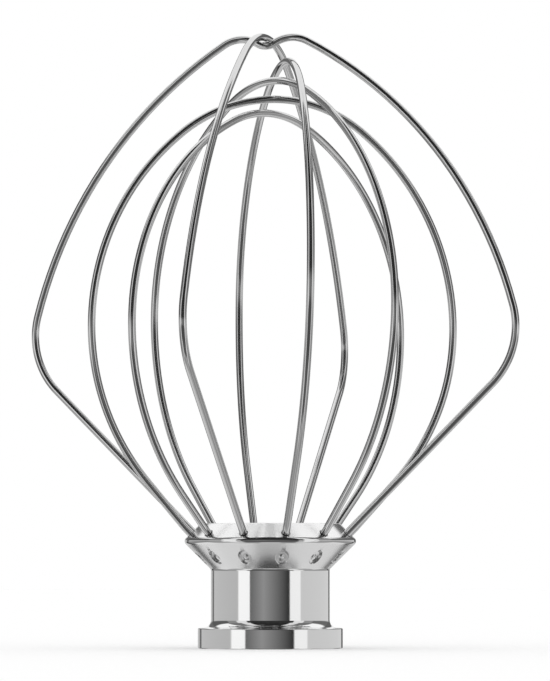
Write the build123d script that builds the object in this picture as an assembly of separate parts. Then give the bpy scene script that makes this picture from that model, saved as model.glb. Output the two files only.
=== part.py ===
"""Wire whisk for a stand mixer: six bent wire loops set in a turned hub with a bayonet bore.

Millimetres, +Z up. The origin is on the hub's axis, on the face that the whisk stands on, and the
wires rise from the hub. Each loop lies in its own upright plane through the axis, and its two ends
sit in blind sockets on opposite sides of the hub.
"""
import os
from dataclasses import dataclass
from math import acos, atan2, cos, hypot, pi, radians, sin, sqrt, tan

from build123d import *

# Hub, turned from bar
FLANGE_DIAMETER = 38.1
FLANGE_HEIGHT = 5.3
FLANGE_CHAMFER = 0.25
BARREL_DIAMETER = 31.2
BARREL_FILLET = 2.2
BARREL_TOP = 20.7
FLARE_FILLET = 1.0
RIM_DIAMETER = 45.1
RIM_NOSE_RADIUS = 1.2
HUB_HEIGHT = 32.7
HUB_TOP_CHAMFER = 0.3

# Blind bore for the mixer's shaft, with a drill point
BORE_DIAMETER = 12.9
BORE_DEPTH = 24.0
BORE_CHAMFER = 0.6
DRILL_POINT_ANGLE = 118.0

# Bayonet slot for the shaft's cross pin, cut through the wall at the back
SLOT_WIDTH = 5.6
PIN_HEIGHT = 15.0
SLOT_TURN = 50.0

# Wire and its sockets, which run parallel to the hub's lower cone
WIRE_DIAMETER = 2.0
SOCKET_DEPTH = 9.5
SOCKET_CLEARANCE = 0.05
MOUTH_GAP = 0.25
MOUTH_DEPTH = 0.6
SOCKET_WALL = 1.6

# Stake pockets, punched level into the lower cone beside each socket
STAKE_DIAMETER = 3.4
STAKE_DEPTH = 0.7
STAKE_HEIGHT = 23.8
STAKE_TURN = -1.5
STAKE_BUTTON_RADIUS = 1.2
STAKE_BUTTON_RISE = 0.45

# Where the wires leave the hub: a short straight, then a small bend
EXIT_LENGTH = 2.0
EXIT_BEND_REACH = 1.2

# Heights: the top of the whole, then the clear gaps between the crowns that nest under it
OVERALL_HEIGHT = 162.6
CROSSING_GAP = 0.1
TALL_CROWN_GAP = 2.3
UPPER_CROWN_GAP = 3.2
LOWER_CROWN_GAP = 2.8
SHORT_CROWN_GAP = 1.8

# The dip in the outer loop that passes under, where the other one lies across it
DIP_DEPTH = 2.0
DIP_RADIUS = 4.4

# The outer loop that passes over leans a little, and the dip follows its crown
OVER_LEAN = -0.53

CUT_OVERRUN = 1.0


@dataclass
class Loop:
    """One wire loop, measured on its centre line.

    socket counts twelfths of a turn from +X to the loop's first leg. leg_share is the share of the
    rise from hub to belly at which the leg's line would reach the full width. Inner loops hand over
    from side to crown arc at the handover angle. Outer loops hold their side bend for side_turn past
    the belly, then run up to the crown arc.
    """

    socket: int
    half_width: float
    belly_height: float
    leg_share: float
    top: float
    handover: float = 0.0
    side_turn: float = 0.0
    crown_radius: float = 0.0
    crown_shift: float = 0.0
    dips: bool = False
    sway: float = 0.0
    push: float = 0.0
    lean: float = 0.0


# Radii and heights that follow from the sizes above
wire_radius = WIRE_DIAMETER / 2
flange_radius = FLANGE_DIAMETER / 2
barrel_radius = BARREL_DIAMETER / 2
bore_radius = BORE_DIAMETER / 2
rim_corner = RIM_DIAMETER / 2 + RIM_NOSE_RADIUS * (sqrt(2) - 1)
rim_height = BARREL_TOP + rim_corner - barrel_radius
top_radius = rim_corner - (HUB_HEIGHT - rim_height)

# The socket's axis lies inside the lower cone, and meets the upper slope at the mouth
axis_inset = (wire_radius + SOCKET_CLEARANCE + SOCKET_WALL) * sqrt(2)
mouth_radius = rim_corner - axis_inset / 2
mouth_height = rim_height + axis_inset / 2
exit_radius = mouth_radius + EXIT_LENGTH / sqrt(2)
exit_height = mouth_height + EXIT_LENGTH / sqrt(2)

# Crown heights, each one under the crown above it
over_top = OVERALL_HEIGHT - wire_radius
dip_height = over_top - WIRE_DIAMETER - CROSSING_GAP
tall_top = dip_height - WIRE_DIAMETER - TALL_CROWN_GAP
upper_top = tall_top - WIRE_DIAMETER - UPPER_CROWN_GAP
lower_top = upper_top - WIRE_DIAMETER - LOWER_CROWN_GAP
short_top = lower_top - WIRE_DIAMETER - SHORT_CROWN_GAP
crossing_shift = (over_top - exit_height) * sin(radians(OVER_LEAN))

LOOPS = {
    "outer_loop_over": Loop(
        socket=-3, half_width=65.1, belly_height=82.5, leg_share=0.855, top=over_top,
        side_turn=18.3, crown_radius=27.4, lean=OVER_LEAN,
    ),
    "outer_loop_under": Loop(
        socket=0, half_width=67.1, belly_height=83.6, leg_share=0.832, top=dip_height + DIP_DEPTH,
        side_turn=14.8, crown_radius=9.2, crown_shift=crossing_shift, dips=True,
    ),
    "inner_loop_tall": Loop(
        socket=-2, half_width=49.6, belly_height=95.1, leg_share=0.604, top=tall_top,
        handover=47.4, push=2.26, lean=0.7,
    ),
    "inner_loop_upper": Loop(
        socket=-1, half_width=48.5, belly_height=88.8, leg_share=0.546, top=upper_top, handover=60.7,
    ),
    "inner_loop_lower": Loop(
        socket=1, half_width=48.65, belly_height=84.5, leg_share=0.562, top=lower_top,
        handover=50.8, sway=1.97,
    ),
    "inner_loop_short": Loop(
        socket=2, half_width=46.9, belly_height=83.9, leg_share=0.524, top=short_top, handover=64.3,
    ),
}
SOCKET_COUNT = 2 * len(LOOPS)
SOCKET_STEP = 360 / SOCKET_COUNT


def on_circle(centre, radius, angle):
    """Point (s, z) on a circle in the loop's plane, at an angle in radians from the s direction."""
    return centre[0] + radius * cos(angle), centre[1] + radius * sin(angle)


def leg_and_side(loop, belly):
    """Leg's foot, where the side bend starts, and that bend's radius."""
    corner_height = exit_height + loop.leg_share * (loop.belly_height - exit_height)
    leg_angle = atan2(belly - exit_radius, corner_height - exit_height)
    reach = loop.belly_height - corner_height
    foot = (belly - reach * sin(leg_angle), corner_height - reach * cos(leg_angle))
    return foot, reach / tan(leg_angle / 2)


def inner_half(loop, side):
    """Points of an inner half loop: foot, then the ends of its lower side, upper side and crown arcs."""
    shift = side * loop.sway
    belly = loop.half_width + shift / 2
    foot, _ = leg_and_side(loop, belly)
    turn = radians(loop.handover)
    width = belly - shift
    rise = loop.top - loop.belly_height
    upper_side = (width * (1 - sin(turn)) - rise * cos(turn)) / (1 - sin(turn) - cos(turn))
    first_reach = upper_side * tan(turn / 2)
    corner = Vector(belly, 0, loop.belly_height + first_reach)
    crown = Vector(shift, loop.push, loop.top)
    span = corner - crown
    second_reach = (span.dot(span) - first_reach**2) / (2 * (first_reach + span.X))
    crown_corner = crown + Vector(second_reach, 0, 0)
    join = corner + (crown_corner - corner) * (first_reach / (first_reach + second_reach))
    return [Vector(foot[0], 0, foot[1]), Vector(belly, 0, loop.belly_height), join, crown]


def outer_half(loop, side):
    """Points of an outer half loop: foot, then the ends of its side bend, run and crown arcs.

    A loop that dips has two shoulders with the dip between them instead of one crown.
    """
    foot, side_radius = leg_and_side(loop, loop.half_width)
    turn = radians(loop.side_turn)
    side_end = on_circle((loop.half_width - side_radius, loop.belly_height), side_radius, turn)
    reach = loop.crown_radius + DIP_RADIUS
    dip_turn = acos(1 - DIP_DEPTH / reach) if loop.dips else 0
    dip_middle = side * loop.crown_shift
    crown = (dip_middle + reach * sin(dip_turn), loop.top - loop.crown_radius)
    away = (side_end[0] - crown[0], side_end[1] - crown[1])
    inward = -(away[0] * cos(turn) + away[1] * sin(turn))
    run_radius = (loop.crown_radius**2 - away[0] ** 2 - away[1] ** 2) / (2 * (inward + loop.crown_radius))
    run_centre = on_circle(side_end, -run_radius, turn)
    join_angle = atan2(crown[1] - run_centre[1], crown[0] - run_centre[0])
    ends = [foot, side_end, on_circle(crown, loop.crown_radius, join_angle)]
    if loop.dips:
        ends.append(on_circle(crown, loop.crown_radius, pi / 2 + dip_turn))
        ends.append((dip_middle, loop.top - DIP_DEPTH))
    else:
        ends.append((0, loop.top))
    return [Vector(s, 0, z) for s, z in ends]


def half_path(loop, side):
    """Edges of one half loop, from the socket's floor up to the middle of the crown."""
    points = inner_half(loop, side) if loop.handover else outer_half(loop, side)
    points = [Vector(side * point.X, point.Y, point.Z) for point in points]
    corner = Vector(side * exit_radius, 0, exit_height)
    tilt = Pos(0, 0, exit_height) * Rot(-loop.lean, 0, 0) * Pos(0, 0, -exit_height)
    leg_way = (points[0] - corner).normalized()
    upper = [Line(corner + leg_way * EXIT_BEND_REACH, points[0])]
    for end in points[1:]:
        upper.append(TangentArc(upper[-1] @ 1, end, tangent=upper[-1] % 1))
    upper = [tilt * edge for edge in upper]
    tail_way = Vector(side, 0, 1).normalized()
    tail_start = corner - tail_way * (EXIT_LENGTH + SOCKET_DEPTH)
    tail = Line(tail_start, corner - tail_way * EXIT_BEND_REACH)
    exit_bend = TangentArc(tail @ 1, upper[0] @ 0, tangent=tail_way)
    return [tail, exit_bend, *upper]


def make_loop(loop):
    """Wire swept along both halves of the loop, turned to its sockets."""
    path = Wire(half_path(loop, 1) + half_path(loop, -1))
    start = Plane(origin=path @ 0, z_dir=path % 0)
    wire = sweep(start * Circle(wire_radius), path=path)
    return Rot(0, 0, loop.socket * SOCKET_STEP) * wire


def hub_body():
    """Turned hub: flange, barrel, flared rim and blind bore."""
    drill_point = bore_radius / tan(radians(DRILL_POINT_ANGLE / 2))
    outline = [
        (bore_radius, 0),
        (flange_radius, 0),
        (flange_radius, FLANGE_HEIGHT),
        (barrel_radius, FLANGE_HEIGHT),
        (barrel_radius, BARREL_TOP),
        (rim_corner, rim_height),
        (top_radius, HUB_HEIGHT),
        (0, HUB_HEIGHT),
        (0, BORE_DEPTH + drill_point),
        (bore_radius, BORE_DEPTH),
    ]
    bore_mouth, foot_edge, flange_edge, barrel_foot, barrel_end, rim, top_edge = outline[:7]
    section = make_face(Polyline(*outline, close=True))
    section = fillet(nearest_vertex(section, rim), RIM_NOSE_RADIUS)
    section = fillet(nearest_vertex(section, barrel_foot), BARREL_FILLET)
    section = fillet(nearest_vertex(section, barrel_end), FLARE_FILLET)
    section = chamfer(nearest_vertex(section, foot_edge), FLANGE_CHAMFER)
    section = chamfer(nearest_vertex(section, flange_edge), FLANGE_CHAMFER)
    section = chamfer(nearest_vertex(section, top_edge), HUB_TOP_CHAMFER)
    section = chamfer(nearest_vertex(section, bore_mouth), BORE_CHAMFER)
    return revolve(Plane.XZ * section, axis=Axis.Z)


def nearest_vertex(section, point):
    """Corner of a section at a point of its outline."""
    return section.vertices().sort_by_distance((point[0], point[1], 0))[0]


def bayonet_slot():
    """L-shaped cut: straight up from the foot, then round to where the cross pin hooks in."""
    reach = flange_radius + CUT_OVERRUN
    rise = PIN_HEIGHT + CUT_OVERRUN
    entry = Pos(0, 0, -CUT_OVERRUN) * Box(SLOT_WIDTH, reach, rise, align=(Align.CENTER, Align.MIN, Align.MIN))
    pin = Rot(-90, 0, 0) * Cylinder(SLOT_WIDTH / 2, reach, align=(Align.CENTER, Align.CENTER, Align.MIN))
    ring = Cylinder(reach, SLOT_WIDTH, arc_size=SLOT_TURN, align=(Align.NONE, Align.NONE, Align.CENTER))
    lift = Pos(0, 0, PIN_HEIGHT)
    return entry + lift * pin + lift * Rot(0, 0, 90) * ring + lift * Rot(0, 0, SLOT_TURN) * pin


def socket_cut():
    """One wire socket with its wider mouth, on the +X side."""
    along = Vector(1, 0, 1).normalized()
    mouth = Vector(mouth_radius, 0, mouth_height)
    floor = Plane(origin=mouth - along * SOCKET_DEPTH, z_dir=along)
    shelf = Plane(origin=mouth - along * MOUTH_DEPTH, z_dir=along)
    base = (Align.CENTER, Align.CENTER, Align.MIN)
    hole = floor * Cylinder(wire_radius + SOCKET_CLEARANCE, SOCKET_DEPTH + CUT_OVERRUN, align=base)
    return hole + shelf * Cylinder(wire_radius + MOUTH_GAP, MOUTH_DEPTH + CUT_OVERRUN, align=base)


def stake_cut():
    """One stake pocket on the +X side: a level punch down to a floor along the cone, with a raised button."""
    surface_radius = barrel_radius + STAKE_HEIGHT - BARREL_TOP
    floor_radius = surface_radius - STAKE_DEPTH * sqrt(2)
    punch_radius = STAKE_DIAMETER / 2
    side_view = [
        (floor_radius - punch_radius, STAKE_HEIGHT - punch_radius),
        (floor_radius + punch_radius, STAKE_HEIGHT + punch_radius),
        (rim_corner, STAKE_HEIGHT + punch_radius),
        (rim_corner, STAKE_HEIGHT - punch_radius),
    ]
    outside = extrude(Plane.XZ * make_face(Polyline(*side_view, close=True)), amount=punch_radius, both=True)
    punch = Pos(0, 0, STAKE_HEIGHT) * Rot(0, 90, 0) * Cylinder(
        punch_radius, rim_corner, align=(Align.CENTER, Align.CENTER, Align.MIN)
    )
    sunk = (STAKE_BUTTON_RADIUS - STAKE_BUTTON_RISE) / sqrt(2)
    button = Pos(floor_radius - sunk, 0, STAKE_HEIGHT + sunk) * Sphere(STAKE_BUTTON_RADIUS)
    return punch & outside - button


def make_hub():
    """Hub with its bayonet slot, wire sockets and stake pockets."""
    hub = hub_body() - bayonet_slot()
    cut = socket_cut() + Rot(0, 0, STAKE_TURN) * stake_cut()
    for index in range(SOCKET_COUNT):
        hub -= Rot(0, 0, index * SOCKET_STEP) * cut
    return hub


def main():
    os.makedirs("parts", exist_ok=True)
    export_step(make_hub(), "parts/hub.step")
    for name, loop in LOOPS.items():
        export_step(make_loop(loop), f"parts/{name}.step")


main()
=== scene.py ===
"""Looks of a stand mixer's wire whisk: bent steel wire loops in a polished hub, on a pale studio floor.

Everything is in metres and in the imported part's frame: +Z up, with the origin under the hub, on its
axis. The hub and the wires are modelled again here with finer rounds, where their solids are.
"""

from collections import namedtuple
from dataclasses import dataclass
from math import acos, atan2, ceil, cos, pi, radians, sin, sqrt, tan

import bmesh
import bpy
from bpy.props import FloatProperty, FloatVectorProperty, IntProperty, PointerProperty
from mathutils import Matrix, Vector, noise


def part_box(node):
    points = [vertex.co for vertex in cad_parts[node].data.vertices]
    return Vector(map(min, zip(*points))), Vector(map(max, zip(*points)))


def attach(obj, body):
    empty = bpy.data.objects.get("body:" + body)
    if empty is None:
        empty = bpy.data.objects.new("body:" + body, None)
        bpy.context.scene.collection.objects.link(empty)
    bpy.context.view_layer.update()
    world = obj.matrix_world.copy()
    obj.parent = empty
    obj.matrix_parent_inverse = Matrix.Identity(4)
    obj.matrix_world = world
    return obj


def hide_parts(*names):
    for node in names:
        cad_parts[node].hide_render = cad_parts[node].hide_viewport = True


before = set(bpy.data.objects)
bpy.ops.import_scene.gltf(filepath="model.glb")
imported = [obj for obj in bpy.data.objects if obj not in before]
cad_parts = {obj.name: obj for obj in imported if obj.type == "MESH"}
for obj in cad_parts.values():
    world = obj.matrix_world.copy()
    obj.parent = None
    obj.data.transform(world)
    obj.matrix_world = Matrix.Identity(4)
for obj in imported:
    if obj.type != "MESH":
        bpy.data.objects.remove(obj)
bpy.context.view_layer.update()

bl_info = {
    "name": "Wire whisk",
    "version": (1, 0, 0),
    "blender": (4, 5, 0),
    "location": "3D View > Sidebar > Whisk",
    "description": "Models the hub and wire loops of a stand mixer's whisk, with its studio",
    "category": "Object",
}

MM = 0.001
BODY = "root"
IMAGE_HEIGHT = 681

# Each slope of the hub, and each wire socket in it, stands at 45 degrees
SLOPE = sqrt(0.5)

# Cutters: how far they stand past a face, and the start, reach and azimuth of the bayonet slot's own
CUT_OVERRUN = 1.0 * MM
SLOT_START = 1.0 * MM
SLOT_REACH = 25.0 * MM
SLOT_AZIMUTH = pi / 2

# Stake pockets: the round at the foot of the wall, and the width and variety of the lumps on the floor
STAKE_CORNER = 0.3 * MM
LUMP_WIDTH = 0.9 * MM
LUMP_VARIETY = 7.3

# Mesh steps of the hub's rounds, from the bore up to the top
CHAMFER_STEPS = 1
EDGE_STEPS = 3
BARREL_FILLET_STEPS = 12
FLARE_FILLET_STEPS = 8
NOSE_STEPS = 16
TOP_STEPS = 2

# Mesh steps of what is cut into the hub
SOCKET_STEPS = 48
STAKE_STEPS = 64
STAKE_CORNER_STEPS = 4
BUTTON_STEPS = 8
SLOT_ROUND_STEPS = 64
SLOT_TURN_STEPS = 48

# Vertices closer than these become one, and edges sharper than this angle stay sharp
WIRE_WELD = 0.0001 * MM
TURNED_WELD = 0.001 * MM
SHARP_ANGLE = radians(30)

# Roughness of the metal's finishes, and the widths over which they give way to one another on the hub
POLISHED = (0.05, 0.09)
DRAWN = (0.05, 0.09)
SATIN_BELOW_RIM = 0.22
SATIN_ABOVE_RIM = 0.17
MACHINED = 0.35
FINISH_BLEND = 0.2 * MM
BARREL_SKIN = 0.02 * MM

# Turning lines on the hub: how fine they are, and how far they wander in one radian of turn
TURNING_FINENESS = 4000
TURNING_DRIFT = 0.4 * MM

# Drawing lines on the wires: how fine they are round the wire, and how fast they change along it
DRAWING_FINENESS = 4.0
DRAWING_DRIFT = 4.0

# Both kinds of lines: their height, and the fineness of their slow cloud as a share of their own
LINE_HEIGHT = 0.01 * MM
CLOUD_FINENESS = 0.08


def length(name, description, size):
    """Property for a size in millimetres, kept in metres."""
    return FloatProperty(
        name=name, description=description, default=size * MM, min=0, unit="LENGTH", precision=5
    )


def angle(name, description, degrees):
    """Property for an angle in degrees, kept in radians."""
    return FloatProperty(name=name, description=description, default=radians(degrees), subtype="ANGLE")


def share(name, description, value):
    """Property for a number from 0 to 1."""
    return FloatProperty(name=name, description=description, default=value, min=0, max=1, subtype="FACTOR")


def colour(name, description, value):
    """Property for a colour."""
    return FloatVectorProperty(
        name=name, description=description, default=value, size=4, min=0, max=1, subtype="COLOR"
    )


class WhiskHubSettings(bpy.types.PropertyGroup):
    """Sizes and finish of the turned hub."""

    flange_diameter: length("Flange diameter", "Across the foot that the whisk stands on", 38.1)
    flange_height: length("Flange height", "Height of the foot", 5.3)
    edge_round: length("Edge round", "Rounding of the flange's two edges", 0.25)
    barrel_diameter: length("Barrel diameter", "Across the straight part", 31.2)
    barrel_fillet: length("Barrel fillet", "Round between the flange and the barrel", 2.2)
    barrel_top: length("Barrel top", "Height at which the barrel flares out", 20.7)
    flare_fillet: length("Flare fillet", "Round where the barrel flares out", 1.0)
    nose_radius: length("Rim nose", "Round at the widest edge of the rim", 1.2)
    top_round: length("Top round", "Rounding of the hub's top edge", 0.3)
    bore_diameter: length("Bore diameter", "Across the blind hole for the mixer's shaft", 12.9)
    bore_depth: length("Bore depth", "Depth of the blind hole, without its drill point", 24.0)
    bore_chamfer: length("Bore chamfer", "Chamfer at the mouth of the blind hole", 0.6)
    drill_angle: angle("Drill angle", "Full angle of the drill point", 118)
    slot_width: length("Slot width", "Width of the bayonet slot", 5.6)
    pin_height: length("Pin height", "Height at which the bayonet slot turns", 15.0)
    slot_turn: angle("Slot turn", "How far the bayonet slot runs round", 50)
    stake_diameter: length("Stake diameter", "Across a stake pocket", 3.4)
    stake_depth: length("Stake depth", "Depth of a stake pocket, square to the slope", 0.7)
    stake_height: length("Stake height", "Height of the stake pockets' middles", 23.8)
    stake_turn: angle("Stake turn", "How far the stake pockets stand to one side of the sockets", -1.5)
    stake_flare: length("Stake flare", "Bevel round a stake pocket's edge", 0.1)
    stake_lumps: length("Stake lumps", "Unevenness of a stake pocket's floor", 0.03)
    stake_tilt: share("Stake tilt", "How far a stake pocket's floor leans back from the slope", 0.3)
    button_radius: length("Button radius", "Curve of the button that staking raises", 1.2)
    button_rise: length("Button rise", "Height of that button", 0.35)
    turns: IntProperty(name="Steps round", description="Mesh steps round the hub", default=360, min=24)
    base_colour: colour("Colour", "Colour of the polished metal", (0.87, 0.87, 0.87, 1))
    line_depth: share("Turning lines", "Strength of the fine turning lines", 0.03)


class WhiskWireSettings(bpy.types.PropertyGroup):
    """Sizes and finish that all the wire loops share."""

    wire_diameter: length("Wire diameter", "Across the wire", 2.0)
    socket_depth: length("Socket depth", "How far a wire end goes into the hub", 9.5)
    socket_wall: length("Socket wall", "Metal between a socket and the hub's lower slope", 1.6)
    socket_gap: length("Socket gap", "Room round a wire in its socket", 0.05)
    mouth_gap: length("Mouth gap", "Room round a wire at the mouth of its socket", 0.25)
    mouth_depth: length("Mouth depth", "Depth of the wider mouth of a socket", 0.6)
    exit_length: length("Exit length", "From the mouth to the first bend's corner", 2.0)
    exit_reach: length("Exit reach", "From that corner to where its bend ends", 1.2)
    dip_depth: length("Dip depth", "How deep the lower outer loop dips under the other", 2.0)
    dip_radius: length("Dip radius", "Bend at the bottom of the dip", 4.4)
    facets: IntProperty(name="Facets", description="Mesh steps round the wire", default=32, min=8)
    bend_step: angle("Bend step", "Largest mesh step along a bend", 2)
    base_colour: colour("Colour", "Colour of the drawn steel", (0.74, 0.74, 0.74, 1))
    line_depth: share("Drawing lines", "Strength of the lines along the wire", 0.15)


class WhiskStudioSettings(bpy.types.PropertyGroup):
    """Floor, light and camera."""

    floor_size: length("Floor size", "Side of the floor", 12000)
    floor_colour: colour("Floor colour", "Colour of the pale floor", (0.90, 0.90, 0.90, 1))
    camera_turn: angle("Camera turn", "Camera's azimuth, from the -Y side towards +X", 19.02)
    camera_distance: length("Camera distance", "Level distance from the hub's axis", 995.2)
    camera_height: length("Camera height", "Above the floor", 17.8)
    camera_aside: length("Camera aside", "How far the camera stands to the right of the axis", 1.24)
    camera_pitch: angle("Camera pitch", "How far the camera looks up", 3.638)
    focal_pixels: FloatProperty(
        name="Focal length", description="In pixels of the image", default=3774.9, min=1, subtype="PIXEL"
    )


@dataclass
class Loop:
    """Bends of one wire loop, on its centre line.

    socket counts twelfths of a turn from +X to the first leg. leg_share is the share of the rise from
    hub to belly at which the leg's line would reach the full width. Inner loops hand over from side to
    crown arc at the handover angle. Outer loops hold their side bend for side_turn past the belly, then
    run up to the crown arc, and one of them dips in its middle. sway moves the crown within the loop's
    plane, push moves it square to that plane, and lean tips the loop above its sockets. Lengths are in
    millimetres and angles in degrees.
    """

    socket: int
    belly_height: float
    leg_share: float
    handover: float = 0.0
    side_turn: float = 0.0
    crown_radius: float = 0.0
    dips: bool = False
    sway: float = 0.0
    push: float = 0.0
    lean: float = 0.0


LOOPS = {
    "outer_loop_over": Loop(
        socket=-3, belly_height=82.5, leg_share=0.855, side_turn=18.3, crown_radius=27.4, lean=-0.53
    ),
    "outer_loop_under": Loop(
        socket=0, belly_height=83.6, leg_share=0.832, side_turn=14.8, crown_radius=9.2, dips=True
    ),
    "inner_loop_tall": Loop(
        socket=-2, belly_height=95.1, leg_share=0.604, handover=47.4, push=2.26, lean=0.7
    ),
    "inner_loop_upper": Loop(socket=-1, belly_height=88.8, leg_share=0.546, handover=60.7),
    "inner_loop_lower": Loop(socket=1, belly_height=84.5, leg_share=0.562, handover=50.8, sway=1.97),
    "inner_loop_short": Loop(socket=2, belly_height=83.9, leg_share=0.524, handover=64.3),
}
SOCKETS = 2 * len(LOOPS)

# Studio as the metal mirrors it, layer by layer. Its walls follow one another from straight behind the
# whisk, by the left to the camera at 0 and on by the right. Each goes up to an azimuth in degrees, and has
# its grey level there and, if that differs, where it starts
Wall = namedtuple("Wall", "end level start_level", defaults=(None,))
EYE_WALLS = (
    Wall(-153, 0.57),
    Wall(-142, 0.16),
    Wall(-64.7, 0.51, 0.57),
    Wall(-40.4, 1.06),
    Wall(-13, 0.30, 0.14),
    Wall(38.1, 0.02, 0.30),
    Wall(61.1, 0.98),
    Wall(155, 0.70, 0.64),
    Wall(172, 0.10),
    Wall(180, 0.45),
)
ABOVE_WALLS = (
    Wall(-170, 0.95),
    Wall(-152, 0.15),
    Wall(-92, 0.11),
    Wall(-70, 0.27),
    Wall(-47, 0.84),
    Wall(47, 0.03),
    Wall(70, 0.84),
    Wall(92, 0.29),
    Wall(148, 0.15),
    Wall(170, 0.12),
    Wall(180, 0.95),
)
HIGH_WALLS = (
    Wall(-97, 1.05),
    Wall(-62, 0.18),
    Wall(-42, 0.78),
    Wall(42, 0.02),
    Wall(62, 0.78),
    Wall(97, 0.16),
    Wall(180, 1.05),
)
BELOW_WALLS = (
    Wall(-159, 0.65),
    Wall(-149, 0.04),
    Wall(-92, 0.27),
    Wall(-70, 0.32),
    Wall(-47, 0.82),
    Wall(47, 0.09),
    Wall(70, 0.82),
    Wall(92, 0.34),
    Wall(149, 0.32),
    Wall(158, 0.08),
    Wall(180, 0.62),
)
LOW_WALLS = (
    Wall(-159, 0.70),
    Wall(-149, 0.02),
    Wall(-100, 0.80),
    Wall(-62, 0.41),
    Wall(-42, 0.85),
    Wall(42, 0.12),
    Wall(62, 0.85),
    Wall(100, 0.41),
    Wall(149, 0.75),
    Wall(158, 0.08),
    Wall(180, 0.65),
)
ROOF_WALLS = (Wall(180, 1.05),)
GROUND_WALLS = (Wall(-75, 0.74), Wall(75, 0.34), Wall(180, 0.74))

# Half the width in degrees over which one wall gives way to the next
WALL_EDGE = 0.3

# Elevations in degrees over which one layer gives way to the next
ABOVE_FROM = (1.5, 8)
HIGH_FROM = (27, 33)
ROOF_FROM = (81, 84)
BELOW_FROM = (-1.5, -7)
LOW_FROM = (-24, -29)
GROUND_FROM = (-46, -54)

# Darker strip down the middle of the roof and of the ground: its grey level, and where its soft edge starts
# and ends, as the sideways part of a direction
ROOF_SEAM = (0.02, 0.06)
ROOF_SEAM_LEVEL = 0.60
GROUND_GAP = (0.16, 0.19)
GROUND_GAP_LEVEL = 0.52


# Node helpers

def add_node(tree, kind, inputs=None, **settings):
    """New node with its settings, whose inputs are set to values or linked to other nodes' outputs."""
    made = tree.nodes.new(kind)
    for name, value in settings.items():
        setattr(made, name, value)
    for name, value in (inputs or {}).items():
        if isinstance(value, bpy.types.NodeSocket):
            tree.links.new(value, made.inputs[name])
        else:
            made.inputs[name].default_value = value
    return made


def calculate(tree, operation, first, second=0.0):
    """Output of a Math node."""
    return add_node(tree, "ShaderNodeMath", {0: first, 1: second}, operation=operation).outputs[0]


def blend_levels(tree, factor, first, second):
    """Output of a Mix node for plain numbers."""
    mix = add_node(tree, "ShaderNodeMix", {"Factor": factor, "A": first, "B": second}, data_type="FLOAT")
    return mix.outputs["Result"]


def step_between(tree, value, start, end):
    """0 up to the start and 1 from the end on, with a smooth step between them. Either may be the higher."""
    limits = {"Value": value, "From Min": start, "From Max": end}
    return add_node(tree, "ShaderNodeMapRange", limits, interpolation_type="SMOOTHSTEP").outputs["Result"]


def fine_lines_group():
    """Node group: fine uneven lines from a pattern vector, as a mask and as a slow cloud."""
    found = bpy.data.node_groups.get("fine_lines")
    if found:
        return found
    tree = bpy.data.node_groups.new("fine_lines", "ShaderNodeTree")
    tree.interface.new_socket("Vector", in_out="INPUT", socket_type="NodeSocketVector")
    tree.interface.new_socket("Fineness", in_out="INPUT", socket_type="NodeSocketFloat")
    tree.interface.new_socket("Lines", in_out="OUTPUT", socket_type="NodeSocketFloat")
    tree.interface.new_socket("Cloud", in_out="OUTPUT", socket_type="NodeSocketFloat")
    given = add_node(tree, "NodeGroupInput").outputs
    lines = add_node(
        tree, "ShaderNodeTexNoise",
        {"Vector": given["Vector"], "Scale": given["Fineness"], "Detail": 1.0, "Roughness": 0.5},
    )
    coarse = calculate(tree, "MULTIPLY", given["Fineness"], CLOUD_FINENESS)
    cloud = add_node(
        tree, "ShaderNodeTexNoise", {"Vector": given["Vector"], "Scale": coarse, "Detail": 2.0}
    )
    add_node(tree, "NodeGroupOutput", {"Lines": lines.outputs["Fac"], "Cloud": cloud.outputs["Fac"]})
    return tree


def place_lines(tree, vector, fineness):
    """Outputs of the fine_lines group, placed in a material."""
    inputs = {"Vector": vector, "Fineness": fineness}
    return add_node(tree, "ShaderNodeGroup", inputs, node_tree=fine_lines_group()).outputs


def empty_material(name):
    """Material whose node tree is still empty."""
    material = bpy.data.materials.new(name)
    material.use_nodes = True
    material.node_tree.nodes.clear()
    return material


def metal_material(name):
    """Material of bare metal, with its node tree and its shader."""
    material = empty_material(name)
    tree = material.node_tree
    shader = add_node(tree, "ShaderNodeBsdfPrincipled", {"Metallic": 1.0})
    add_node(tree, "ShaderNodeOutputMaterial", {"Surface": shader.outputs["BSDF"]})
    return material, tree, shader


def draw_lines(tree, shader, lines, settings):
    """Lets a metal's colour and bump follow its fine lines."""
    light = tuple(settings.base_colour)
    dark = [channel * (1 - settings.line_depth) for channel in light[:3]] + [1]
    tint = add_node(
        tree, "ShaderNodeMix", {"Factor": lines["Lines"], "A": dark, "B": light}, data_type="RGBA"
    )
    tree.links.new(tint.outputs["Result"], shader.inputs["Base Color"])
    bump = add_node(
        tree, "ShaderNodeBump",
        {"Height": lines["Lines"], "Strength": settings.line_depth, "Distance": LINE_HEIGHT},
    )
    tree.links.new(bump.outputs["Normal"], shader.inputs["Normal"])


def cloudy_finish(tree, lines, finish):
    """Roughness that drifts slowly from one end of a finish to the other."""
    smoothest, roughest = finish
    limits = {"Value": lines["Cloud"], "To Min": smoothest, "To Max": roughest}
    return add_node(tree, "ShaderNodeMapRange", limits).outputs["Result"]


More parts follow.
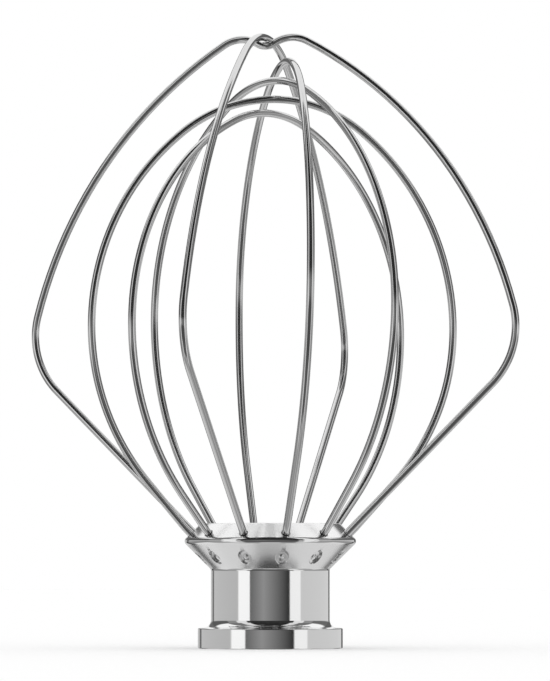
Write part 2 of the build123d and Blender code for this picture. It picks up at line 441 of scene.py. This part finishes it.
def hub_finish(tree, settings, radius, height, polished):
    """Roughness of the hub: satin slopes and top, a machined bore and slot, and polished elsewhere."""
    barrel = settings.barrel_diameter / 2
    hub_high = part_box("hub")[1]
    nose = hub_high.x - settings.nose_radius * (1 - SLOPE)
    rim_height = settings.barrel_top + nose - barrel
    flared = step_between(tree, height, settings.barrel_top, settings.barrel_top + FINISH_BLEND)
    inside_nose = step_between(tree, radius, nose, nose - FINISH_BLEND)
    above_rim = step_between(tree, height, rim_height, rim_height + FINISH_BLEND)
    satin = blend_levels(tree, above_rim, SATIN_BELOW_RIM, SATIN_ABOVE_RIM)
    on_slopes = calculate(tree, "MULTIPLY", flared, inside_nose)
    outside = blend_levels(tree, on_slopes, polished, satin)
    inside_barrel = step_between(tree, radius, barrel - BARREL_SKIN, barrel - FINISH_BLEND)
    under_top = step_between(tree, height, hub_high.z - FINISH_BLEND, hub_high.z - 2 * FINISH_BLEND)
    cut = calculate(tree, "MULTIPLY", inside_barrel, under_top)
    return blend_levels(tree, cut, outside, MACHINED)


def hub_material(settings):
    """Turned metal with fine lines round it, in the hub's finishes."""
    material, tree, shader = metal_material("hub_polished")
    place = add_node(tree, "ShaderNodeTexCoord").outputs["Object"]
    parts = add_node(tree, "ShaderNodeSeparateXYZ", {"Vector": place}).outputs
    level = add_node(tree, "ShaderNodeCombineXYZ", {"X": parts["X"], "Y": parts["Y"]}).outputs["Vector"]
    radius = add_node(tree, "ShaderNodeVectorMath", {0: level}, operation="LENGTH").outputs["Value"]
    turn = calculate(tree, "ARCTAN2", parts["Y"], parts["X"])
    slow_turn = calculate(tree, "MULTIPLY", turn, TURNING_DRIFT)
    section = add_node(tree, "ShaderNodeCombineXYZ", {"X": radius, "Y": parts["Z"], "Z": slow_turn})
    lines = place_lines(tree, section.outputs["Vector"], TURNING_FINENESS)
    draw_lines(tree, shader, lines, settings)
    polished = cloudy_finish(tree, lines, POLISHED)
    finish = hub_finish(tree, settings, radius, parts["Z"], polished)
    tree.links.new(finish, shader.inputs["Roughness"])
    return material


def wire_material(settings):
    """Drawn steel with fine lines along the wire."""
    material, tree, shader = metal_material("wire_drawn")
    around = add_node(tree, "ShaderNodeAttribute", attribute_name="around").outputs["Vector"]
    place = add_node(tree, "ShaderNodeTexCoord").outputs["Object"]
    along = add_node(tree, "ShaderNodeVectorMath", {0: place, "Scale": DRAWING_DRIFT}, operation="SCALE")
    pattern = add_node(
        tree, "ShaderNodeVectorMath", {0: around, 1: along.outputs["Vector"]}, operation="ADD"
    )
    lines = place_lines(tree, pattern.outputs["Vector"], DRAWING_FINENESS)
    draw_lines(tree, shader, lines, settings)
    tree.links.new(cloudy_finish(tree, lines, DRAWN), shader.inputs["Roughness"])
    return material


# Mesh helpers

def mesh_object(name, bm):
    """Object from a bmesh, linked into the scene."""
    mesh = bpy.data.meshes.new(name)
    bm.to_mesh(mesh)
    bm.free()
    made = bpy.data.objects.new(name, mesh)
    bpy.context.scene.collection.objects.link(made)
    return made


def finish_piece(name, bm, material, node_name):
    """Piece from a bmesh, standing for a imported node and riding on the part."""
    piece = mesh_object(name, bm)
    piece.data.materials.append(material)
    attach(piece, BODY)
    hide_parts(node_name)
    return piece


def verts_and_edges(geometry):
    """Vertices and edges among what an operator returned."""
    verts = [item for item in geometry if isinstance(item, bmesh.types.BMVert)]
    edges = [item for item in geometry if isinstance(item, bmesh.types.BMEdge)]
    return verts, edges


# Wire loops

class Sockets:
    """Where the wires enter and leave the hub, worked out from its sizes."""

    def __init__(self, hub, wires):
        self.wire_radius = wires.wire_diameter / 2
        hub_low, hub_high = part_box("hub")
        self.rim_corner = (hub_high.x - hub_low.x) / 2 + hub.nose_radius * (sqrt(2) - 1)
        self.rim_height = hub.barrel_top + self.rim_corner - hub.barrel_diameter / 2
        inset = (self.wire_radius + wires.socket_gap + wires.socket_wall) * sqrt(2)
        self.mouth = Vector((self.rim_corner - inset / 2, 0, self.rim_height + inset / 2))
        self.exit = self.mouth + Vector((SLOPE, 0, SLOPE)) * wires.exit_length


def on_circle(centre, radius, turn):
    """Point of a circle in the loop's plane, at an angle from its first axis."""
    return Vector((centre.x + radius * cos(turn), 0, centre.z + radius * sin(turn)))


def loop_width(name, loop, wire_radius):
    """Half width of a loop's centre line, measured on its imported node."""
    low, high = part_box(name)
    turn = radians(loop.socket * 360 / SOCKETS)
    if abs(cos(turn)) > abs(sin(turn)):
        return ((high.x - low.x) / 2 - wire_radius) / abs(cos(turn))
    return ((high.y - low.y) / 2 - wire_radius) / abs(sin(turn))


def leg_and_side(loop, belly, exit_corner):
    """Where the leg's side bend starts, and that bend's radius."""
    belly_height = loop.belly_height * MM
    corner_height = exit_corner.z + loop.leg_share * (belly_height - exit_corner.z)
    leg_angle = atan2(belly - exit_corner.x, corner_height - exit_corner.z)
    reach = belly_height - corner_height
    foot = Vector((belly - reach * sin(leg_angle), 0, corner_height - reach * cos(leg_angle)))
    return foot, reach / tan(leg_angle / 2)


def inner_stops(loop, side, half_width, top, exit_corner):
    """Stops of an inner half loop: foot, belly, hand-over to the crown, crown."""
    shift = side * loop.sway * MM
    belly = half_width + shift / 2
    belly_height = loop.belly_height * MM
    foot, _ = leg_and_side(loop, belly, exit_corner)
    turn = radians(loop.handover)
    rise = top - belly_height
    upper_side = ((belly - shift) * (1 - sin(turn)) - rise * cos(turn)) / (1 - sin(turn) - cos(turn))
    first_reach = upper_side * tan(turn / 2)
    corner = Vector((belly, 0, belly_height + first_reach))
    crown = Vector((shift, loop.push * MM, top))
    span = corner - crown
    second_reach = (span.length_squared - first_reach**2) / (2 * (first_reach + span.x))
    crown_corner = crown + Vector((second_reach, 0, 0))
    join = corner.lerp(crown_corner, first_reach / (first_reach + second_reach))
    return [foot, Vector((belly, 0, belly_height)), join, crown]


def crossing_shift(exit_corner, wires):
    """How far the leaning outer loop's crown stands from the axis."""
    crown_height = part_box("outer_loop_over")[1].z - wires.wire_diameter / 2
    return (crown_height - exit_corner.z) * sin(radians(LOOPS["outer_loop_over"].lean))


def outer_stops(loop, side, half_width, top, exit_corner, wires):
    """Stops of an outer half loop: foot, end of the side bend, end of the run, crown or dip."""
    foot, side_radius = leg_and_side(loop, half_width, exit_corner)
    turn = radians(loop.side_turn)
    crown_radius = loop.crown_radius * MM
    side_end = on_circle(Vector((half_width - side_radius, 0, loop.belly_height * MM)), side_radius, turn)
    reach = crown_radius + wires.dip_radius
    dip_turn = acos(1 - wires.dip_depth / reach) if loop.dips else 0
    dip_middle = side * crossing_shift(exit_corner, wires) if loop.dips else 0
    crown = Vector((dip_middle + reach * sin(dip_turn), 0, top - crown_radius))
    away = side_end - crown
    inward = -(away.x * cos(turn) + away.z * sin(turn))
    run_radius = (crown_radius**2 - away.length_squared) / (2 * (inward + crown_radius))
    run_centre = on_circle(side_end, -run_radius, turn)
    join_turn = atan2(crown.z - run_centre.z, crown.x - run_centre.x)
    stops = [foot, side_end, on_circle(crown, crown_radius, join_turn)]
    if loop.dips:
        stops.append(on_circle(crown, crown_radius, pi / 2 + dip_turn))
        stops.append(Vector((dip_middle, 0, top - wires.dip_depth)))
    else:
        stops.append(Vector((0, 0, top)))
    return stops


def half_stops(name, loop, side, sockets, wires):
    """Stops of one half loop, from its socket's floor up to the middle of the crown."""
    half_width = loop_width(name, loop, sockets.wire_radius)
    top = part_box(name)[1].z - sockets.wire_radius
    corner = sockets.exit
    if loop.handover:
        upper = inner_stops(loop, side, half_width, top, corner)
    else:
        upper = outer_stops(loop, side, half_width, top, corner, wires)
    leg_start = corner + (upper[0] - corner).normalized() * wires.exit_reach
    lift = Matrix.Translation((0, 0, corner.z))
    tilt = lift @ Matrix.Rotation(radians(-loop.lean), 4, "X") @ lift.inverted()
    tail_way = Vector((SLOPE, 0, SLOPE))
    tail_start = corner - tail_way * (wires.exit_length + wires.socket_depth)
    tail_end = corner - tail_way * wires.exit_reach
    stops = [tail_start, tail_end, leg_start, *upper]
    mirrored = [Vector((side * stop.x, stop.y, stop.z)) for stop in stops]
    return mirrored[:2] + [tilt @ stop for stop in mirrored[2:]]


def loop_route(name, loop, sockets, wires):
    """Stops from one socket over the crown to the other, and whether the wire bends on the way to each."""
    first = half_stops(name, loop, 1, sockets, wires)
    second = half_stops(name, loop, -1, sockets, wires)
    # Up from a socket come a straight tail, a bend and a straight leg, and then bends only
    bent = [False, True, False] + [True] * (len(first) - 4)
    stops = first + second[-2::-1]
    return stops[0], list(zip(stops[1:], bent + bent[::-1]))


def tangent_bend(start, way, end):
    """Centre, axis and angle of the bend that leaves start along way and reaches end."""
    chord = end - start
    forward = chord.dot(way)
    across = chord - way * forward
    radius = chord.length_squared / (2 * across.length)
    centre = start + across.normalized() * radius
    return centre, way.cross(across).normalized(), 2 * atan2(across.length, forward)


def draw_wire(start, legs, wires):
    """Tube of wire through its stops: straight runs are extruded, and bends are spun."""
    bm = bmesh.new()
    around = bm.verts.layers.float_vector.new("around")
    way = (legs[0][0] - start).normalized()
    place = Matrix.Translation(start) @ way.to_track_quat("Z", "Y").to_matrix().to_4x4()
    bmesh.ops.create_circle(
        bm, cap_ends=True, radius=wires.wire_diameter / 2, segments=wires.facets, matrix=place
    )
    for vert in bm.verts:
        vert[around] = (place.inverted() @ vert.co).normalized()
    verts, edges = bm.verts[:], bm.edges[:]
    here = start
    for end, bends in legs:
        if bends:
            centre, axis, turn = tangent_bend(here, way, end)
            steps = ceil(turn / wires.bend_step)
            made = bmesh.ops.spin(
                bm, geom=verts + edges, cent=centre, axis=axis, angle=turn, steps=steps, use_merge=False
            )
            verts, edges = verts_and_edges(made["geom_last"])
            way = Matrix.Rotation(turn, 3, axis) @ way
        else:
            made = bmesh.ops.extrude_edge_only(bm, edges=edges)
            verts, edges = verts_and_edges(made["geom"])
            bmesh.ops.translate(bm, verts=verts, vec=end - here)
        here = end
    bmesh.ops.edgeloop_fill(bm, edges=edges)
    bmesh.ops.remove_doubles(bm, verts=bm.verts, dist=WIRE_WELD)
    bmesh.ops.recalc_face_normals(bm, faces=bm.faces)
    # The wire's two end faces stay flat
    for face in bm.faces:
        face.smooth = len(face.verts) == 4
    return bm


class WHISK_OT_loops(bpy.types.Operator):
    """Bends each wire loop from straight runs and arcs, and sets it in the hub"""

    bl_idname = "whisk.loops"
    bl_label = "Wire loops"

    def execute(self, context):
        wires = context.scene.whisk_wires
        sockets = Sockets(context.scene.whisk_hub, wires)
        material = wire_material(wires)
        for name, loop in LOOPS.items():
            start, legs = loop_route(name, loop, sockets, wires)
            bm = draw_wire(start, legs, wires)
            turn = Matrix.Rotation(radians(loop.socket * 360 / SOCKETS), 3, "Z")
            bmesh.ops.rotate(bm, verts=bm.verts, cent=(0, 0, 0), matrix=turn)
            finish_piece(name + "_wire", bm, material, name)
        return {"FINISHED"}


# Hub

def hub_outline(hub, sockets):
    """Corners of the hub's section, and the reach and steps of the round at each."""
    hub_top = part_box("hub")[1].z
    bore = hub.bore_diameter / 2
    flange = hub.flange_diameter / 2
    barrel = hub.barrel_diameter / 2
    drill_tip = hub.bore_depth + bore / tan(hub.drill_angle / 2)
    flare_reach = hub.flare_fillet * tan(pi / 8)
    top_radius = sockets.rim_corner - (hub_top - sockets.rim_height)
    return [
        ((0, drill_tip), 0, 0),
        ((bore, hub.bore_depth), 0, 0),
        ((bore, 0), hub.bore_chamfer, CHAMFER_STEPS),
        ((flange, 0), hub.edge_round, EDGE_STEPS),
        ((flange, hub.flange_height), hub.edge_round, EDGE_STEPS),
        ((barrel, hub.flange_height), hub.barrel_fillet, BARREL_FILLET_STEPS),
        ((barrel, hub.barrel_top), flare_reach, FLARE_FILLET_STEPS),
        ((sockets.rim_corner, sockets.rim_height), hub.nose_radius, NOSE_STEPS),
        ((top_radius, hub_top), hub.top_round, TOP_STEPS),
        ((0, hub_top), 0, 0),
    ]


def spin_outline(outline, steps):
    """Turned shape: the outline's corners get their rounds, and it is spun about the Z axis."""
    bm = bmesh.new()
    corners = []
    for (radius, height), reach, segments in outline:
        corners.append((bm.verts.new((radius, 0, height)), reach, segments))
    for (first, _, _), (second, _, _) in zip(corners, corners[1:]):
        bm.edges.new((first, second))
    for corner, reach, segments in corners:
        if segments:
            bmesh.ops.bevel(
                bm, geom=[corner], offset=reach, offset_type="OFFSET", segments=segments, profile=0.5,
                affect="VERTICES", material=-1,
            )
    bmesh.ops.spin(
        bm, geom=bm.verts[:] + bm.edges[:], cent=(0, 0, 0), axis=(0, 0, 1), angle=2 * pi,
        steps=steps, use_merge=True,
    )
    bmesh.ops.remove_doubles(bm, verts=bm.verts, dist=TURNED_WELD)
    bmesh.ops.recalc_face_normals(bm, faces=bm.faces)
    return bm


def repeat_round(shapes, first_turn=0.0):
    """One bmesh from shapes made on the +X side, each turned to its own socket."""
    whole = bmesh.new()
    for index, bm in enumerate(shapes):
        turn = Matrix.Rotation(first_turn + index * 2 * pi / SOCKETS, 3, "Z")
        bmesh.ops.rotate(bm, verts=bm.verts, cent=(0, 0, 0), matrix=turn)
        mesh = bpy.data.meshes.new("shape")
        bm.to_mesh(mesh)
        bm.free()
        whole.from_mesh(mesh)
        bpy.data.meshes.remove(mesh)
    return whole


def socket_cutter(sockets, wires):
    """Cutter for one wire socket with its wider mouth."""
    hole = sockets.wire_radius + wires.socket_gap
    mouth = sockets.wire_radius + wires.mouth_gap
    bm = spin_outline([
        ((0, -wires.socket_depth), 0, 0),
        ((hole, -wires.socket_depth), 0, 0),
        ((hole, -wires.mouth_depth), 0, 0),
        ((mouth, -wires.mouth_depth), 0, 0),
        ((mouth, CUT_OVERRUN), 0, 0),
        ((0, CUT_OVERRUN), 0, 0),
    ], SOCKET_STEPS)
    place = Matrix.Translation(sockets.mouth) @ Matrix.Rotation(pi / 4, 4, "Y")
    bmesh.ops.transform(bm, matrix=place, verts=bm.verts)
    return bm


def stake_cutter(hub, seed):
    """Cutter for one stake pocket: a level punch with an uneven button on its sloping floor."""
    radius = hub.stake_diameter / 2
    floor = -hub.stake_depth / SLOPE
    button_turn = acos(1 - hub.button_rise / hub.button_radius)
    outline = []
    for step in range(BUTTON_STEPS + 1):
        turn = button_turn * step / BUTTON_STEPS
        drop = hub.button_radius * (1 - cos(turn))
        outline.append(((hub.button_radius * sin(turn), floor + hub.button_rise - drop), 0, 0))
    outline += [
        ((radius, floor), STAKE_CORNER, STAKE_CORNER_STEPS),
        ((radius, -hub.stake_flare), 0, 0),
        ((radius + hub.stake_flare, 0), 0, 0),
        ((radius + hub.stake_flare, CUT_OVERRUN), 0, 0),
        ((0, CUT_OVERRUN), 0, 0),
    ]
    bm = spin_outline(outline, STAKE_STEPS)
    surface = hub.barrel_diameter / 2 + hub.stake_height - hub.barrel_top
    under_flare = -2 * hub.stake_flare
    for vert in bm.verts:
        up, across, out = vert.co
        if out < under_flare:
            grain = Vector((up, across, seed)) / LUMP_WIDTH + Vector((0, 0, LUMP_VARIETY * seed))
            out += hub.stake_lumps * noise.noise(grain) - hub.stake_tilt * up
        reach = surface + up + out
        vert.co = (sqrt(reach**2 - across**2), across, hub.stake_height + up)
    bm.normal_update()
    bmesh.ops.recalc_face_normals(bm, faces=bm.faces)
    return bm


def add_rod(bm, height, radius, turn):
    """Level rod from the axis out through the hub's wall, at an angle from +X."""
    out = Matrix.Rotation(turn, 4, "Z") @ Matrix.Rotation(pi / 2, 4, "Y")
    place = Matrix.Translation((0, 0, height)) @ out @ Matrix.Translation((0, 0, SLOT_REACH / 2))
    bmesh.ops.create_cone(
        bm, cap_ends=True, segments=SLOT_ROUND_STEPS, radius1=radius, radius2=radius, depth=SLOT_REACH,
        matrix=place,
    )


def slot_cutters(hub):
    """Cutters for the bayonet slot: the way up, its round top, the way round and its round end."""
    half = hub.slot_width / 2
    way_up = bmesh.new()
    size = Matrix.Diagonal((hub.slot_width, SLOT_REACH, hub.pin_height + CUT_OVERRUN, 1))
    place = Matrix.Translation((0, SLOT_REACH / 2, (hub.pin_height - CUT_OVERRUN) / 2))
    bmesh.ops.create_cube(way_up, size=1, matrix=place @ size)
    top = bmesh.new()
    add_rod(top, hub.pin_height, half, SLOT_AZIMUTH)
    way_round = bmesh.new()
    corners = []
    for out, up in ((SLOT_START, -half), (SLOT_REACH, -half), (SLOT_REACH, half), (SLOT_START, half)):
        corners.append(way_round.verts.new((0, out, hub.pin_height + up)))
    sides = len(corners)
    edges = [way_round.edges.new((corners[index - 1], corners[index])) for index in range(sides)]
    bmesh.ops.spin(
        way_round, geom=corners + edges, cent=(0, 0, 0), axis=(0, 0, 1), angle=hub.slot_turn,
        steps=SLOT_TURN_STEPS, use_merge=False,
    )
    bmesh.ops.holes_fill(way_round, edges=way_round.edges, sides=sides)
    bmesh.ops.recalc_face_normals(way_round, faces=way_round.faces)
    end = bmesh.new()
    add_rod(end, hub.pin_height, half, SLOT_AZIMUTH + hub.slot_turn)
    return [way_up, top, way_round, end]


def cut_away(piece, cutters):
    """Takes each cutter's shape out of a piece, and removes the cutters with their meshes."""
    helpers = [mesh_object("cutter", bm) for bm in cutters]
    for helper in helpers:
        cut = piece.modifiers.new("cut", "BOOLEAN")
        cut.operation = "DIFFERENCE"
        cut.solver = "EXACT"
        cut.object = helper
    result = piece.evaluated_get(bpy.context.evaluated_depsgraph_get())
    mesh = bpy.data.meshes.new_from_object(result)
    piece.modifiers.clear()
    piece.data = mesh
    for helper in helpers:
        bpy.data.meshes.remove(helper.data)


class WHISK_OT_hub(bpy.types.Operator):
    """Turns the hub and cuts its sockets, stake pockets and bayonet slot"""

    bl_idname = "whisk.hub"
    bl_label = "Hub"

    def execute(self, context):
        hub = context.scene.whisk_hub
        wires = context.scene.whisk_wires
        sockets = Sockets(hub, wires)
        bm = spin_outline(hub_outline(hub, sockets), hub.turns)
        piece = finish_piece("hub_turned", bm, hub_material(hub), "hub")
        holes = repeat_round([socket_cutter(sockets, wires) for _ in range(SOCKETS)])
        stakes = repeat_round([stake_cutter(hub, seed) for seed in range(SOCKETS)], hub.stake_turn)
        cut_away(piece, [holes, stakes, *slot_cutters(hub)])
        piece.data.shade_smooth()
        piece.data.set_sharp_from_angle(angle=SHARP_ANGLE)
        weighted = piece.modifiers.new("true_normals", "WEIGHTED_NORMAL")
        weighted.keep_sharp = True
        return {"FINISHED"}


# Studio

def wall_ramp(tree, place, walls):
    """Grey levels round the studio at one height."""
    ramp = add_node(tree, "ShaderNodeValToRGB", {"Fac": place})
    stops = ramp.color_ramp.elements
    # A new ramp has two stops of its own. One has to stay until the walls have theirs
    stops.remove(stops[1])
    start = -180
    for wall in walls:
        start_level = wall.level if wall.start_level is None else wall.start_level
        for turn, level in ((start + WALL_EDGE, start_level), (wall.end - WALL_EDGE, wall.level)):
            stops.new((turn + 180) / 360).color = (level, level, level, 1)
        start = wall.end
    stops.remove(stops[0])
    return ramp.outputs["Color"]


def studio_walls(tree, camera_turn):
    """Grey level of the studio's walls, roof and ground, whichever a ray meets."""
    way = add_node(tree, "ShaderNodeTexCoord").outputs["Generated"]
    turned = add_node(
        tree, "ShaderNodeVectorRotate", {"Vector": way, "Angle": -camera_turn}, rotation_type="Z_AXIS"
    )
    parts = add_node(tree, "ShaderNodeSeparateXYZ", {"Vector": turned.outputs["Vector"]}).outputs
    front = calculate(tree, "MULTIPLY", parts["Y"], -1.0)
    azimuth = calculate(tree, "ARCTAN2", parts["X"], front)
    limits = {"Value": azimuth, "From Min": -pi, "From Max": pi}
    place = add_node(tree, "ShaderNodeMapRange", limits).outputs["Result"]
    aside = calculate(tree, "ABSOLUTE", parts["X"])
    walls = wall_ramp(tree, place, EYE_WALLS)
    beside_seam = step_between(tree, aside, *ROOF_SEAM)
    roof = blend_levels(tree, beside_seam, ROOF_SEAM_LEVEL, wall_ramp(tree, place, ROOF_WALLS))
    beside_gap = step_between(tree, aside, *GROUND_GAP)
    ground = blend_levels(tree, beside_gap, GROUND_GAP_LEVEL, wall_ramp(tree, place, GROUND_WALLS))
    for (start, end), layer in (
        (ABOVE_FROM, wall_ramp(tree, place, ABOVE_WALLS)),
        (HIGH_FROM, wall_ramp(tree, place, HIGH_WALLS)),
        (ROOF_FROM, roof),
        (BELOW_FROM, wall_ramp(tree, place, BELOW_WALLS)),
        (LOW_FROM, wall_ramp(tree, place, LOW_WALLS)),
        (GROUND_FROM, ground),
    ):
        reached = step_between(tree, parts["Z"], sin(radians(start)), sin(radians(end)))
        walls = blend_levels(tree, reached, walls, layer)
    return walls


def studio_world(settings):
    """Soft light: white to the camera, plain to the floor, and the studio's walls to the metal."""
    world = bpy.data.worlds.new("studio")
    world.use_nodes = True
    tree = world.node_tree
    tree.nodes.clear()
    walls = studio_walls(tree, settings.camera_turn)
    rays = add_node(tree, "ShaderNodeLightPath").outputs
    seen = blend_levels(tree, rays["Is Glossy Ray"], 1.0, walls)
    background = add_node(tree, "ShaderNodeBackground", {"Color": seen})
    add_node(tree, "ShaderNodeOutputWorld", {"Surface": background.outputs["Background"]})
    bpy.context.scene.world = world


def studio_floor(settings):
    """Pale floor, white where the whisk's shadow ends. The metal mirrors the studio in its place."""
    bm = bmesh.new()
    bmesh.ops.create_grid(bm, x_segments=1, y_segments=1, size=settings.floor_size / 2)
    floor = mesh_object("floor", bm)
    material = empty_material("floor_pale")
    tree = material.node_tree
    matt = add_node(tree, "ShaderNodeBsdfDiffuse", {"Color": tuple(settings.floor_colour)})
    glow = add_node(tree, "ShaderNodeEmission", {"Strength": 1 - settings.floor_colour[0]})
    plain = add_node(tree, "ShaderNodeAddShader", {0: matt.outputs["BSDF"], 1: glow.outputs["Emission"]})
    add_node(tree, "ShaderNodeOutputMaterial", {"Surface": plain.outputs["Shader"]})
    floor.data.materials.append(material)
    floor.visible_glossy = False


def studio_camera(settings):
    """Camera at the photograph's angle."""
    data = bpy.data.cameras.new("camera")
    data.lens = settings.focal_pixels / IMAGE_HEIGHT * data.sensor_width
    data.clip_end = settings.floor_size
    camera = bpy.data.objects.new("camera", data)
    bpy.context.scene.collection.objects.link(camera)
    turn = settings.camera_turn
    towards = Vector((sin(turn), -cos(turn), 0))
    right = Vector((cos(turn), sin(turn), 0))
    camera.location = towards * settings.camera_distance + right * settings.camera_aside
    camera.location.z = settings.camera_height
    camera.rotation_euler = (pi / 2 + settings.camera_pitch, 0, turn)
    bpy.context.scene.camera = camera


class WHISK_OT_stage(bpy.types.Operator):
    """Sets up the floor, the studio light and the camera"""

    bl_idname = "whisk.stage"
    bl_label = "Studio"

    def execute(self, context):
        settings = context.scene.whisk_studio
        studio_floor(settings)
        studio_world(settings)
        studio_camera(settings)
        context.scene.view_settings.view_transform = "Standard"
        return {"FINISHED"}


class WHISK_PT_panel(bpy.types.Panel):
    """Lists the pieces of the whisk and their sizes"""

    bl_idname = "WHISK_PT_panel"
    bl_label = "Wire whisk"
    bl_space_type = "VIEW_3D"
    bl_region_type = "UI"
    bl_category = "Whisk"

    def draw(self, context):
        scene = context.scene
        for operator, settings in (
            ("whisk.hub", scene.whisk_hub),
            ("whisk.loops", scene.whisk_wires),
            ("whisk.stage", scene.whisk_studio),
        ):
            box = self.layout.box()
            box.operator(operator)
            for name in settings.__annotations__:
                box.prop(settings, name)


CLASSES = (
    WhiskHubSettings,
    WhiskWireSettings,
    WhiskStudioSettings,
    WHISK_OT_hub,
    WHISK_OT_loops,
    WHISK_OT_stage,
    WHISK_PT_panel,
)


def register():
    for item in CLASSES:
        bpy.utils.register_class(item)
    bpy.types.Scene.whisk_hub = PointerProperty(type=WhiskHubSettings)
    bpy.types.Scene.whisk_wires = PointerProperty(type=WhiskWireSettings)
    bpy.types.Scene.whisk_studio = PointerProperty(type=WhiskStudioSettings)


def unregister():
    del bpy.types.Scene.whisk_studio
    del bpy.types.Scene.whisk_wires
    del bpy.types.Scene.whisk_hub
    for item in reversed(CLASSES):
        bpy.utils.unregister_class(item)


def main():
    register()
    bpy.ops.whisk.hub()
    bpy.ops.whisk.loops()
    bpy.ops.whisk.stage()


if __name__ == "__main__":
    main()
